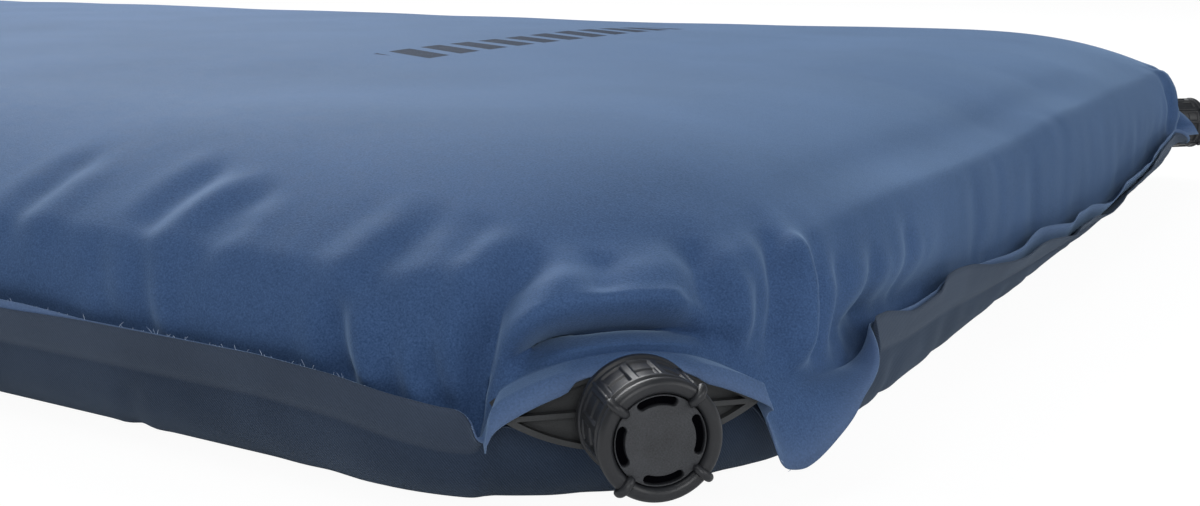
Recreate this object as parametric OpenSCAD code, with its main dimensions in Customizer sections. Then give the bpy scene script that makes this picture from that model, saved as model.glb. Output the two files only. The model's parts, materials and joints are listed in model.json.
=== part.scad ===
// Self-inflating camping mat: two fabric covers welded together round a foam
// core, with a two-way screw valve across each corner of one end.
// Millimetres. X runs along the mat with the valves at +X, Z is up, and the
// origin is on the floor under the middle of the mat.

/* [Mat] */
// Length over the welded edge
mat_length = 2000; // [1800:10:2200]
// Width over the welded edge
mat_width = 768; // [600:2:1400]
// Height of the welded edge above the floor
seam_height = 35; // [30:1:45]
// Height where the rounded side ends and the top begins
shoulder_height = 94; // [80:1:110]
// Height in the middle of the top
crown_height = 100; // [96:1:125]

/* [Welded edge] */
// Width of the welded edge beyond the air space
flange_width = 16; // [12:1:20]
// Leg of the cut across each valve corner, at the weld
valve_corner_leg = 58; // [54:1:62]
// Corner radius at the end without valves
plain_corner_radius = 70; // [50:1:100]
// Modelled thickness of one cover
fabric = 1; // [0.6:0.1:1.5]

/* [Sides] */
// How far the rounded side reaches inwards above the weld
upper_side_reach = 105; // [80:1:130]
// How far the rounded side reaches inwards below the weld
lower_side_reach = 40; // [25:1:50]

/* [Foam core] */
// Number of cored air channels along the foam
channel_count = 9; // [3:2:11]
// Radius of an air channel
channel_radius = 17; // [8:1:22]

/* [Valve] */
// Outer radius of the screw cap
cap_radius = 16; // [15.6:0.1:16.4]
// Height of the cap's top above the fitting's outer face
cap_top = 26; // [25.9:0.1:26.2]
// Air passage radius through the fitting
passage_radius = 7.5; // [7.3:0.1:7.7]
// Rise of the cap in one full turn
thread_lead = 8; // [7:0.5:9]

/* [Hidden] */
$fn = 64;
slack = 0.05;               // gap between pieces that only touch
overlap = 0.5;              // how far shapes of one piece run into each other
clear = 1;                  // how far a cutting shape runs past what it cuts
corner_steps = 6;           // segments in a rounded corner
side_steps = 6;             // slices in a rounded side

slice_thickness = 0.01;

// How the corners of the outline change from the weld to the shoulder
cut_shrink = 2 - sqrt(2);   // keeps the cut's width even as the outline moves in
valve_corner_growth = 75;
plain_corner_shrink = 0.25;
plain_corner_growth = 25;
inset_limit = 60;
underside_rounding = 0.4;   // share of that rounding that the underside takes
core_gap = 0.5;             // between the foam and the covers
channel_margin = 60;        // foam without channels along each long side

half_length = mat_length / 2 - flange_width;
half_width = mat_width / 2 - flange_width;
top_rise = shoulder_height - seam_height;
crown_inset = 0.75 * half_width;

// Weld-in fitting: a lens-shaped wedge between the two covers
lens_half_length = 35;
lens_half_height = 11;
lens_depth = 16;
lens_skin = 1.4;
lens_pocket = 2.5;
lens_boss_radius = 14;
fitting_standoff = 10;      // outer face of the fitting, measured from the weld
sleeve_overlap = 4;         // how far the covers' sleeve runs back past the weld
sleeve_setback = 1;         // sleeve's front edge, behind the fitting's outer face
sleeve_growth = 2;          // sleeve's half length beyond the fitting's
sleeve_reach = 50;          // half size of the block that splits the sleeve in two
core_growth = 4;            // half length cut from the foam beyond the fitting's
core_relief = 2;            // depth cut from the foam behind the fitting
lens_rim = 3;               // solid end left beyond each pocket
spigot_radius = 9.5;
spigot_end = -24;
foam_pocket_radius = 22;
foam_pocket_depth = 46;

// Neck of the fitting
collar_radius = 14.6;
collar_height = 2.4;
neck_radius = 10;
neck_top = 21.5;
neck_thread_from = 5;
neck_thread_to = 13;
neck_thread_crest = 11.2;
thread_lobe = 70;           // degrees of the bore that each start takes up
thread_steps = 4;           // segments along a lobe
thread_sink = 0.6;
post_radius = 2;
post_tip_radius = 1.45;
post_tip_length = 2.5;
spoke_width = 1.4;
spoke_from = 16.6;
spoke_to = 18.6;

// Stop ring in the neck's groove
stop_from = 14;
stop_to = 15.2;
stop_inner = 9.6;
stop_outer = 11.4;
stop_gap = 3;

// Plug that closes the cap's inner port
plug_radius = 6.2;
plug_from = 19.6;

// Cap
cap_base = 3;
cap_bore = 11.9;
cap_thread_from = 3.5;
cap_thread_to = 9;
cap_thread_crest = 10.4;
cap_lip_from = 15.35;
cap_lip_radius = 10.5;
cap_lip_width = 2;
skirt_recess = 0.3;         // skirt's outside, inside the rim's outside
rib_setback = 1;            // rib's ends from the skirt's ends
port_from = 22;
port_to = 22.8;
port_radius = 4.8;
bead_radius = 2;
bead_centre = cap_radius - bead_radius;
bead_height = cap_top - bead_radius;
face_radius = 11.8;
face_ledge = 0.5;
face_from = 23.6;
face_to = 24.6;
slot_inner = 9.3;
slot_outer = 11.2;
slot_angle = 50;
cap_phase = 5;              // turn of the cap's pattern from upright
hook_radius = 3.3;
hook_width = 2.6;
hook_underside = face_to + 2 * slack;
rib_width = 1.2;
rib_height = 0.5;

// Ring seal carried in the cap
ring_height = 16.7;
ring_bar = 0.85;
ring_centre = neck_radius + ring_bar + 0.02;
groove_radius = ring_centre + ring_bar + 0.1;
groove_half = ring_bar + 0.1;

// One-way flap at the inner end of the passage
flap_radius = 6.3;
flap_thickness = 0.8;
grille_depth = 3;
grille_wall = 1.6;
grille_bar = 1.2;
ear_root = 0.6;
notch_gap = 0.2;
notch_width = 3;
ear_offset = 3.1;
ear_width = 1.4;
ear_reach = 1.1;
hinge_offset = 6.5;
hinge_drop = 1.15;          // hinge line beyond the spigot's end
pin_radius = 0.5;
pin_length = 9;
flap_barrel_radius = 0.95;
flap_barrel_length = 4;
flap_notch = 1.9;

// ---- outlines --------------------------------------------------------------

// One rounded or cut corner, from its start at angle `from` on to the next side.
// bulge 0 gives a straight cut, and 1 a full arc.
function corner(x, y, leg, bulge, from) = [
    for (i = [0 : corner_steps])
        let (
            a = from + 90 * i / corner_steps,
            t = i / corner_steps,
            arc = [leg * cos(a), leg * sin(a)],
            cut = leg * ((1 - t) * [cos(from), sin(from)]
                         + t * [cos(from + 90), sin(from + 90)])
        )
        [x, y] + bulge * arc + (1 - bulge) * cut
];

// Plan outline of the mat, inset from the weld. `round` goes from 0 at the weld
// to 1 at the shoulder, where the valve corners have become fully rounded.
function outline(inset, round) =
    let (
        a = half_length - inset,
        b = half_width - inset,
        v = valve_corner_leg - cut_shrink * inset + round * valve_corner_growth,
        p = plain_corner_radius - plain_corner_shrink * min(inset, inset_limit)
            + round * plain_corner_growth
    )
    concat(
        corner(a - v, b - v, v, round, 0),
        corner(p - a, b - p, p, 1, 90),
        corner(p - a, p - b, p, 1, 180),
        corner(a - v, v - b, v, round, 270)
    );

// A thin slice of the air space. It stands on `height`, or hangs from it if `below`.
module slice(inset, round, height, below = false) {
    translate([0, 0, below ? height - slice_thickness : height])
        linear_extrude(slice_thickness)
            polygon(outline(inset, round));
}

// ---- covers and foam -------------------------------------------------------

// Slices from the weld up over the rounded side to the crown, `gap` inside the cover.
module upper_slices(gap) {
    for (i = [0 : side_steps]) {
        a = 90 * i / side_steps;
        slice(
            gap + upper_side_reach * (1 - cos(a)),
            1 - cos(a),
            seam_height + (top_rise - gap) * sin(a)
        );
    }
    slice(gap + crown_inset, 1, crown_height - gap - slice_thickness);
}

// Slices from the weld down round the lower side to the floor.
module lower_slices(gap) {
    for (i = [0 : side_steps]) {
        a = 90 * i / side_steps;
        slice(
            gap + lower_side_reach * (1 - cos(a)),
            underside_rounding * (1 - cos(a)),
            seam_height - (seam_height - gap) * sin(a) + (i == side_steps ? slice_thickness : 0),
            below = true
        );
    }
}

module flange_layer(from) {
    translate([0, 0, from])
        linear_extrude(fabric)
            difference() {
                polygon(outline(-flange_width, 0));
                polygon(outline(fabric, 0));
            }
}

// Both covers open out over the fitting, so each carries half of this sleeve.
module fitting_sleeve(upper) {
    on_each_valve()
        intersection() {
            translate([0, 0, -fitting_standoff - sleeve_overlap])
                linear_extrude(fitting_standoff + sleeve_overlap - sleeve_setback)
                    lens(lens_half_length + sleeve_growth, lens_half_height + fabric);
            translate(sleeve_reach * [-1, upper ? 0 : -1, -1])
                cube(sleeve_reach * [2, 1, 2]);
        }
}

module fitting_opening() {
    on_each_valve()
        translate([0, 0, -foam_pocket_depth])
            linear_extrude(foam_pocket_depth + flange_width)
                lens(lens_half_length + slack, lens_half_height + slack);
}

module top_cover() {
    color("steelblue")
        difference() {
            union() {
                difference() {
                    hull() upper_slices(0);
                    hull() {
                        upper_slices(fabric);
                        slice(fabric, 0, seam_height - 1);
                    }
                }
                flange_layer(seam_height);
                fitting_sleeve(true);
            }
            fitting_opening();
        }
}

module bottom_cover() {
    color("darkslategray")
        difference() {
            union() {
                difference() {
                    hull() lower_slices(0);
                    hull() {
                        lower_slices(fabric);
                        slice(fabric, 0, seam_height + 1);
                    }
                }
                flange_layer(seam_height - fabric);
                fitting_sleeve(false);
            }
            fitting_opening();
        }
}

module foam_core() {
    foam_gap = fabric + core_gap;
    pitch = 2 * (half_width - channel_margin) / channel_count;
    color("khaki")
        difference() {
            hull() {
                upper_slices(foam_gap);
                lower_slices(foam_gap);
            }
            for (i = [0 : channel_count - 1])
                translate([0, (i - (channel_count - 1) / 2) * pitch, crown_height / 2])
                    rotate([0, 90, 0])
                        cylinder(h = mat_length, r = channel_radius, center = true);
            on_each_valve() {
                disc(foam_pocket_radius, -foam_pocket_depth, flange_width);
                translate([0, 0, -lens_depth - core_relief])
                    linear_extrude(lens_depth + flange_width)
                        lens(lens_half_length + core_growth, lens_half_height + 2 * fabric);
            }
        }
}

// ---- valve placing ---------------------------------------------------------

// The valve's own frame: +Z points out of the mat, +Y is up, and z = 0 is the
// outer face of the fitting. sign is -1 for the left corner, 1 for the right.
module at_valve(sign) {
    reach = fitting_standoff / sqrt(2) - valve_corner_leg / 2;
    translate([half_length + reach, sign * (half_width + reach), seam_height])
        rotate([0, 0, sign * 45])
            rotate([0, 90, 0])
                rotate([0, 0, 90])
                    children();
}

module left_valve() {
    at_valve(-1) children();
}

module right_valve() {
    at_valve(1) children();
}

module on_each_valve() {
    left_valve() children();
    right_valve() children();
}

// ---- valve pieces ----------------------------------------------------------

module lens(half_length, half_height) {
    r = (pow(half_length, 2) + pow(half_height, 2)) / (2 * half_height);
    intersection() {
        translate([0, half_height - r]) circle(r);
        translate([0, r - half_height]) circle(r);
    }
}

module tube(outer, inner, from, to) {
    translate([0, 0, from])
        linear_extrude(to - from)
            difference() {
                circle(outer);
                circle(inner);
            }
}

module disc(radius, from, to) {
    translate([0, 0, from])
        cylinder(h = to - from, r = radius);
}

// Two-start thread: two lobes swept round a right-hand helix.
module thread(inner, outer, from, to, phase) {
    translate([0, 0, from])
        rotate(phase + 360 * from / thread_lead)
            linear_extrude(to - from, twist = -360 * (to - from) / thread_lead,
                           slices = 2 * (to - from), segments = 2 * thread_steps, $fn = 12)
                for (start = [0, 180])
                    polygon(concat(
                        [for (i = [0 : thread_steps])
                            let (a = start + thread_lobe * (i / thread_steps - 0.5))
                            outer * [cos(a), sin(a)]],
                        [for (i = [thread_steps : -1 : 0])
                            let (a = start + thread_lobe * (i / thread_steps - 0.5))
                            inner * [cos(a), sin(a)]]
                    ));
}

// Fitting: lens wedge with an open front on each side of the boss, a spigot into
// the mat, and a threaded neck with a post for the plug.
module valve_body() {
    color("dimgray") {
        difference() {
            union() {
                translate([0, 0, -lens_depth])
                    linear_extrude(lens_depth)
                        lens(lens_half_length, lens_half_height);
                disc(spigot_radius, spigot_end, overlap - lens_depth);
                disc(collar_radius, 0, collar_height);
                disc(neck_radius, 0, neck_top);
                thread(neck_radius - thread_sink, neck_thread_crest,
                       neck_thread_from, neck_thread_to, 0);
            }
            lens_pockets();
            tube(neck_radius + clear, stop_inner, stop_from, stop_to);
            disc(passage_radius, spigot_end - clear, neck_top + clear);
        }
        plug_post();
    }
}

module lens_pockets() {
    translate([0, 0, -lens_pocket])
        linear_extrude(lens_pocket + 0.01)
            difference() {
                lens(lens_half_length - lens_rim, lens_half_height - lens_skin);
                circle(lens_boss_radius);
                square([2 * lens_half_length, lens_skin], center = true);
            }
}

module plug_post() {
    disc(post_radius, spoke_from - 2, plug_from);
    disc(post_tip_radius, plug_from - 1, plug_from - 1 + post_tip_length);
    for (a = [90, 210, 330])
        rotate(a)
            translate([0, -spoke_width / 2, spoke_from])
                cube([passage_radius + overlap, spoke_width, spoke_to - spoke_from]);
}

module stop_ring() {
    color("silver")
        difference() {
            tube(stop_outer, stop_inner + slack, stop_from + slack, stop_to - slack);
            translate([0, -stop_gap / 2, stop_from - clear])
                cube([stop_outer + clear, stop_gap, stop_to - stop_from + 2 * clear]);
        }
}

module plug_seal() {
    color("black")
        tube(plug_radius, post_tip_radius + slack, plug_from + slack, port_from - slack);
}

module cap_seal_ring() {
    color("black")
        translate([0, 0, ring_height])
            rotate_extrude()
                translate([ring_centre, 0])
                    circle(ring_bar, $fn = 24);
}

// Cap: ribbed skirt with an inside thread, a groove for the ring seal, the inner
// port that the plug closes, and a rounded rim with four hooks over it.
module cap_shell() {
    color("darkslategray")
        difference() {
            union() {
                rotate_extrude()
                    cap_profile();
                thread(cap_thread_crest, cap_bore + overlap,
                       cap_thread_from, cap_thread_to, 90);
                for (i = [0 : 3])
                    rotate(45 + cap_phase + 90 * i)
                        cap_hook();
            }
            disc(face_radius + slack, face_from, hook_underside);
        }
}

module cap_profile() {
    difference() {
        union() {
            translate([cap_bore, cap_base])
                square([cap_radius - skirt_recess - cap_bore, bead_height - cap_base]);
            translate([port_radius, port_from])
                square([bead_centre - port_radius, port_to - port_from]);
            translate([cap_lip_radius, cap_lip_from])
                square([cap_lip_width, port_from - cap_lip_from + overlap]);
            translate([face_radius - face_ledge, port_to - overlap])
                square([bead_centre - face_radius + face_ledge, bead_height - port_to + overlap]);
            translate([bead_centre, bead_height])
                circle(bead_radius, $fn = 32);
        }
        translate([ring_centre - clear, ring_height - groove_half])
            square([groove_radius - ring_centre + clear, 2 * groove_half]);
    }
}

// A bar that climbs the skirt and bends over the rim on to the face.
module cap_hook() {
    translate([cap_radius - overlap, -rib_width / 2, cap_base + rib_setback])
        cube([rib_height + overlap, rib_width, bead_height - cap_base - 2 * rib_setback]);
    rotate([90, 0, 0])
        linear_extrude(hook_width, center = true)
            difference() {
                translate([bead_centre, bead_height]) circle(hook_radius);
                square([bead_centre, hook_underside]);
            }
}

module cap_face() {
    color("gray")
        difference() {
            translate([0, 0, face_from + slack])
                cylinder(h = face_to - face_from, r = face_radius);
            for (i = [0 : 3])
                rotate(90 * i + cap_phase - slot_angle / 2)
                    translate([0, 0, face_from - clear])
                        rotate_extrude(angle = slot_angle)
                            translate([slot_inner, 0])
                                square([slot_outer - slot_inner, face_to - face_from + 2 * clear]);
        }
}

// Cross-shaped grille pressed into the spigot to hold the foam back. On the inlet
// side it is also the flap's seat, with ears for the flap's pin.
module inner_grille(with_flap) {
    hinge_z = spigot_end - hinge_drop;
    color("silver")
        difference() {
            union() {
                tube(passage_radius - slack, passage_radius - grille_wall,
                     spigot_end, spigot_end + grille_depth);
                for (a = [0, 90])
                    rotate(a)
                        translate([overlap - passage_radius, -grille_bar / 2, spigot_end + 0.2])
                            cube([2 * (passage_radius - overlap), grille_bar, grille_depth - 0.2]);
                if (with_flap)
                    for (s = [-1, 1])
                        translate([s * ear_offset - ear_width / 2, hinge_offset - ear_reach,
                                   hinge_z - ear_reach])
                            cube([ear_width, 2 * ear_reach - 0.1, hinge_drop + ear_reach + ear_root]);
            }
            pin_bore(pin_radius + 0.01);
            // the ears stay inside the passage where they run up into it
            tube(spigot_radius + 2, passage_radius - slack, spigot_end - slack, spigot_end + 2);
        }
}

module pin_bore(radius) {
    translate([0, hinge_offset, spigot_end - hinge_drop])
        rotate([0, 90, 0])
            cylinder(h = 2 * pin_length, r = radius, center = true);
}

module flap_pin() {
    color("silver")
        translate([0, hinge_offset, spigot_end - hinge_drop])
            rotate([0, 90, 0])
                cylinder(h = pin_length, r = pin_radius, center = true);
}

// One-way flap: a disc that hangs from its barrel and swings into the mat.
module check_flap() {
    hinge_z = spigot_end - hinge_drop;
    color("white")
        difference() {
            union() {
                disc(flap_radius, spigot_end - flap_thickness - slack, spigot_end - slack);
                translate([0, hinge_offset, hinge_z])
                    rotate([0, 90, 0])
                        cylinder(h = flap_barrel_length, r = flap_barrel_radius,
                                 center = true);
            }
            pin_bore(pin_radius + slack);
            for (s = [-1, 1])
                translate([s * ear_offset - ear_width / 2 - notch_gap, hinge_offset - flap_notch,
                           hinge_z - notch_width / 2])
                    cube([ear_width + 2 * notch_gap, notch_width, notch_width]);
        }
}

// ---- nodes -----------------------------------------------------------------

top_cover();
bottom_cover();
foam_core();
left_valve() valve_body();  // left_valve_body
left_valve() stop_ring();  // left_stop_ring
left_valve() plug_seal();  // left_plug_seal
left_valve() inner_grille(with_flap = true);  // left_inner_grille
left_valve() flap_pin();  // left_flap_pin
left_valve() check_flap();  // left_check_flap
left_valve() cap_seal_ring();  // left_cap_seal_ring
left_valve() cap_shell();  // left_cap_shell
left_valve() cap_face();  // left_cap_face
right_valve() valve_body();  // right_valve_body
right_valve() stop_ring();  // right_stop_ring
right_valve() plug_seal();  // right_plug_seal
right_valve() inner_grille(with_flap = false);  // right_inner_grille
right_valve() cap_seal_ring();  // right_cap_seal_ring
right_valve() cap_shell();  // right_cap_shell
right_valve() cap_face();  // right_cap_face
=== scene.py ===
"""Looks of a self-inflating camping mat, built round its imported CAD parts.

Metres throughout. X runs along the mat with the valves at +X, Z is up, and the
mat lies on z = 0. The covers are one grid each: stations run round the weld and
rows run from the free edge, over the weld, up (or under) to the middle.
"""

import json
import math

import bmesh
import bpy
import numpy as np
from mathutils import Matrix, Vector


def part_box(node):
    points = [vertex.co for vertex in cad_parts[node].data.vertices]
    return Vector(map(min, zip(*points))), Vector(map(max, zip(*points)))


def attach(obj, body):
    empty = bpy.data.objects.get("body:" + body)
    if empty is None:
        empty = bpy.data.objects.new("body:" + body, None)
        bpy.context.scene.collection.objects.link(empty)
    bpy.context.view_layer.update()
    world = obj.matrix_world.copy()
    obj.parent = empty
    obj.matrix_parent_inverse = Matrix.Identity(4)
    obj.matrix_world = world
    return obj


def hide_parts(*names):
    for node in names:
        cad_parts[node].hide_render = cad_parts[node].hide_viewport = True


MM = 0.001
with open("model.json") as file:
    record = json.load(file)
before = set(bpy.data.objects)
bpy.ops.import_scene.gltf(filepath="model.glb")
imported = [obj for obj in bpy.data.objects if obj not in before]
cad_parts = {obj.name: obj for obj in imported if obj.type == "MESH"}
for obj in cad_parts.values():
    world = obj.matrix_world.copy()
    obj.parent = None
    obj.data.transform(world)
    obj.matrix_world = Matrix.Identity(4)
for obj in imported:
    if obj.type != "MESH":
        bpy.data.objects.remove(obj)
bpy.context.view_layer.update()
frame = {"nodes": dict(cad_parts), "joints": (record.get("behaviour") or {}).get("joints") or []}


# ---- sizes, from the frame where it has them -------------------------------

CORE_GAP = 1.5 * MM  # the foam core stops this far inside the weld
VALVE_CUT_RADIUS = 99 * MM  # weld radius at the valve corners
PLAIN_RADIUS = 70 * MM  # weld radius at the other corners
SIDE_REACH = 120 * MM  # how far the rounded upper side runs in from the weld
FABRIC = 0.45 * MM  # thickness of each cover

weld_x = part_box("foam_core")[1].x + CORE_GAP
weld_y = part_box("foam_core")[1].y + CORE_GAP
weld_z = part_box("bottom_cover")[1].z
crown_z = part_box("top_cover")[1].z
spine_x = weld_x - weld_y
slope_rise = 33 * MM  # the part of the rise that the long slope takes
crown_rise = 6 * MM  # the part that the slow crown takes
shoulder_z = crown_z - crown_rise - slope_rise  # the height where the steep wall ends
WALL_REACH = 11 * MM  # how far in the steep wall runs
WALL_POWER = 2.4  # how round the steep wall is
SLOPE_POWER = 2.5  # how round the long slope is
BELLY_POWER = 2.2  # how round the underside is


def joint(name):
    return next(j for j in frame["joints"] if j["name"] == name)


def valve_matrix(side):
    """The valve's own frame: z points out of the mat, y is up."""
    turn = joint(side + "_cap_turn")
    z = Vector(turn["axis"]).normalized()
    y = Vector((0, 0, 1))
    x = y.cross(z)
    m = Matrix((x, y, z)).transposed().to_4x4()
    m.translation = Vector(turn["pos_m"])
    return m


def link(name, data):
    obj = bpy.data.objects.new(name, data)
    bpy.context.scene.collection.objects.link(obj)
    return obj


# ---- small maths -----------------------------------------------------------


def smooth(t):
    t = np.clip(t, 0, 1)
    return t * t * (3 - 2 * t)


def bump(t):
    return np.exp(-(t**2))


def through(table, column, at):
    """Smooth curve along a table's column: straight steps, averaged over a few mm."""
    table = np.array(table, float)
    shares = (1, 2, 3, 2, 1)
    total = 0
    for share, shift in zip(shares, (-3, -1.5, 0, 1.5, 3)):
        total = total + share * np.interp(at + shift, table[:, 0], table[:, column])
    return total / sum(shares)


def waves(rng, count, longest, shortest):
    """A sum of sines along a length, as a function, within about -1 to 1."""
    lengths = np.exp(rng.uniform(math.log(shortest), math.log(longest), count))
    phases = rng.uniform(0, 2 * math.pi, count)
    weights = (lengths / longest) ** 0.4
    weights = weights / np.sqrt((weights**2).sum())

    def value(s):
        s = np.asarray(s, float)
        total = 0
        for length, phase, weight in zip(lengths, phases, weights):
            total = total + weight * np.sin(2 * math.pi * s / length + phase)
        return total

    return value


# ---- outline of the weld ---------------------------------------------------


def quarter(radius):
    return radius * math.pi / 2


LONG_RUN = 2 * weld_x - VALVE_CUT_RADIUS - PLAIN_RADIUS
VALVE_RUN = 2 * (weld_y - VALVE_CUT_RADIUS)
PLAIN_RUN = 2 * (weld_y - PLAIN_RADIUS)
NEAR_CORNER = LONG_RUN + quarter(VALVE_CUT_RADIUS) / 2
FAR_CORNER = NEAR_CORNER + VALVE_RUN + quarter(VALVE_CUT_RADIUS)


def outline(s):
    """Points and outward normals of the weld at distances s from where the near
    long side begins, running towards the valves."""
    ax, ay, r, q = weld_x, weld_y, VALVE_CUT_RADIUS, PLAIN_RADIUS
    pieces = [
        ("line", (-ax + q, -ay), -90, LONG_RUN),
        ("arc", (ax - r, -ay + r), -90, quarter(r), r),
        ("line", (ax, -ay + r), 0, VALVE_RUN),
        ("arc", (ax - r, ay - r), 0, quarter(r), r),
        ("line", (ax - r, ay), 90, LONG_RUN),
        ("arc", (-ax + q, ay - q), 90, quarter(q), q),
        ("line", (-ax, ay - q), 180, PLAIN_RUN),
        ("arc", (-ax + q, -ay + q), 180, quarter(q), q),
    ]
    s = np.asarray(s, float)
    point = np.zeros((len(s), 2))
    normal = np.zeros((len(s), 2))
    start = 0.0
    for piece in pieces:
        kind, origin, facing, length = piece[:4]
        inside = (s >= start - 1e-12) & (s <= start + length + 1e-9)
        along = s[inside] - start
        if kind == "line":
            a = np.full(len(along), math.radians(facing))
            run = np.stack([-np.sin(a), np.cos(a)], 1) * along[:, None]
            point[inside] = np.array(origin) + run
        else:
            a = math.radians(facing) + along / piece[4]
            point[inside] = np.array(origin) + np.stack([np.cos(a), np.sin(a)], 1) * piece[4]
        normal[inside] = np.stack([np.cos(a), np.sin(a)], 1)
        start += length
    return point, normal


# Each is (shortest step, what it grows by, from how far away, over what length).
NEAR_STEPS = (2.4 * MM, 9.3 * MM, 0.11, 0.6)
FAR_STEPS = (4 * MM, 7.7 * MM, 0.07, 0.35)
CREASE_STEPS = (1.1 * MM, 10 * MM, 14 * MM, 0.08)
CREASE_AT = 44 * MM  # the sharpest creases of the edge are this far from the near valve
LAST_STEP = 8 * MM  # room left before the stations close the loop


def growing_step(away, steps):
    shortest, growth, start, length = steps
    return shortest + growth * smooth((away - start) / length)


def stations():
    """Distances round the whole weld, close together at the valves, and the length
    of the weld. They start at the middle of the plain end."""
    around = 2 * LONG_RUN + VALVE_RUN + PLAIN_RUN
    around += 2 * quarter(VALVE_CUT_RADIUS) + 2 * quarter(PLAIN_RADIUS)
    start = -quarter(PLAIN_RADIUS) - PLAIN_RUN / 2
    spots = [start]
    while spots[-1] < start + around - LAST_STEP:
        near = abs(spots[-1] - NEAR_CORNER)
        far = abs(spots[-1] - FAR_CORNER)
        step = growing_step(near, NEAR_STEPS)
        step = min(step, growing_step(far, FAR_STEPS))
        step = min(step, growing_step(abs(near - CREASE_AT), CREASE_STEPS))
        spots.append(spots[-1] + step)
    return np.array(spots), around


STATION, AROUND = stations()
WELD, OUTWARD = outline(np.mod(STATION, AROUND))
FROM_NEAR = STATION - NEAR_CORNER  # distance along the weld from each valve
FROM_FAR = STATION - FAR_CORNER
FAR_AT = FAR_CORNER - NEAR_CORNER  # from one valve to the other along the weld
SPINE_STEP = 12 * MM  # the sides meet along the spine at points this far apart
SPINE = np.round(np.clip(WELD[:, 0], -spine_x, spine_x) / SPINE_STEP) * SPINE_STEP
SPINE = np.stack([SPINE, 0 * SPINE], 1)


# ---- valve fitting's lens, which both covers pass over ---------------------

LENS_HALF_LENGTH = 38 * MM  # a little past the tips of the fitting's own 35 mm lens
LENS_HALF_HEIGHT = 11 * MM
DRAPE = 1.2  # the blue cover rises this many times as high as the lens at the weld
LENS_DEPTH = 6 * MM  # how far in from the weld the lens lifts the covers in full
LENS_FADE = 16 * MM  # and over what distance that lift dies away


def lens_height(across):
    """Height of the lens's arc above the weld, at distances along it from its middle."""
    r = (LENS_HALF_LENGTH**2 + LENS_HALF_HEIGHT**2) / (2 * LENS_HALF_HEIGHT)
    inside = np.clip(r**2 - across**2, 0, None)
    return np.clip(np.sqrt(inside) - (r - LENS_HALF_HEIGHT), 0, None)


def fitting_lift(d):
    """How high the fitting holds a cover off the weld, at distance d inside it."""
    lift = np.zeros(len(STATION))
    for from_valve in (FROM_NEAR, FROM_FAR):
        fade = 1 - smooth((d - LENS_DEPTH) / LENS_FADE)
        lift = np.maximum(lift, lens_height(np.abs(from_valve)) * fade)
    return lift


# ---- tables along the weld -------------------------------------------------
#
# Each row starts with the distance from a valve along the weld in mm: negative
# towards the near long side for the near valve, and towards the valve end for
# the far one. Many of these distances were found by projecting points of the weld
# through the camera with a separate script; the other columns were set by hand.

# How far the weld drops below the valves' height, reach of the rounded underside,
# and how much fuller than elsewhere the blue cover's shoulder stands (mm).
NEAR_WELD = [
    (-2000, 6, 32, 0),
    (-300, 6, 32, 0),
    (-110, 7, 29, 0),
    (-80, 9, 27, 0),
    (-62, 12, 25, 0),
    (-48, 14, 24, 0),
    (-40, 14, 23, 0),
    (-37.5, 13, 23, 0),
    (-34, 0, 23, 0),
    (40, 0, 24, 0),
    (60, 3, 20, 0),
    (90, 8, 16, 0),
    (120, 10, 14, 0),
    (150, 12, 15, 0),
    (193, 12, 17, 0),
    (228, 14, 22, 0),
    (307, 17, 34, 0),
    (420, 17, 50, 2),
    (2000, 17, 50, 4),
]
FAR_WELD = [
    (-2000, 17, 50, 2),
    (-270, 17, 55, 4),
    (-193, 13, 70, 7),
    (-93, 7, 85, 8),
    (-40, 0, 90, 7),
    (40, 0, 90, 6),
    (80, 4, 60, 5),
    (300, 6, 34, 0),
    (2000, 6, 32, 0),
]

# Angle above level (degrees) and width (mm) of the welded edge's blue layer and
# of its dark layer.
NEAR_EDGE = [
    (-2000, 90, 13, 88, 12),
    (-420, 86, 13, 84, 12.5),
    (-330, 86, 14, 86, 12),
    (-240, 80, 16, 80, 12.5),
    (-205, 84, 15, 84, 12.5),
    (-180, 92, 12.6, 90, 12.6),
    (-120, 92, 12.4, 90, 12.6),
    (-95, 92, 12.4, 90, 12.8),
    (-56, 92, 12.4, 90, 13),
    (-43, 92, 12.2, 90, 12.6),
    (-40.5, 90, 9.6, 88, 10),
    (-38.5, 86, 5.6, 84, 6),
    (-37.3, 20, 7, 18, 3.4),
    (-36.2, -66, 10, -68, 3),
    (-34.8, -74, 11, -76, 3),
    (-33.5, -50, 9.5, -52, 3.5),
    (-32, -34, 9, -20, 4),
    (-26, -16, 11, 0, 4),
    (0, -12, 12, 0, 5),
    (28, -16, 12, 0, 4),
    (34, -34, 14, -20, 4),
    (38, -60, 21, -64, 10),
    (43, -74, 26, -78, 14),
    (50, -72, 27, -76, 16),
    (60, -52, 21, -56, 15),
    (73, -20, 15, -24, 13),
    (86, 14, 14, 10, 13),
    (97, 60, 13, 56, 14),
    (106, 84, 12, 82, 15),
    (118, 86, 12, 82, 15),
    (142, 82, 12, 76, 11.5),
    (173, 84, 12, 78, 12.5),
    (177, 88, 12, 84, 16.5),
    (186, 90, 13, 84, 17),
    (208, 88, 13, 82, 16),
    (228, 82, 14, 72, 14),
    (307, 70, 15, 50, 12),
    (365, 62, 15, 40, 12),
    (425, 60, 14, 36, 11),
    (2000, 60, 14, 40, 11),
]
FAR_EDGE = [
    (-2000, 60, 14, 36, 11),
    (-250, 60, 14, 40, 11),
    (-170, 66, 14, 54, 11),
    (-120, 80, 13, 74, 11),
    (-80, 84, 13, 80, 11),
    (-52, -36, 8, -38, 7),
    (-38, -50, 6, -52, 5),
    (-28, -16, 11, 0, 4),
    (0, -12, 12, 0, 5),
    (28, -16, 11, 0, 4),
    (38, -40, 9, -42, 5),
    (52, -30, 12, -32, 8),
    (80, 70, 13, 66, 12),
    (130, 88, 13, 84, 12),
    (2000, 90, 13, 88, 12),
]
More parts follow.
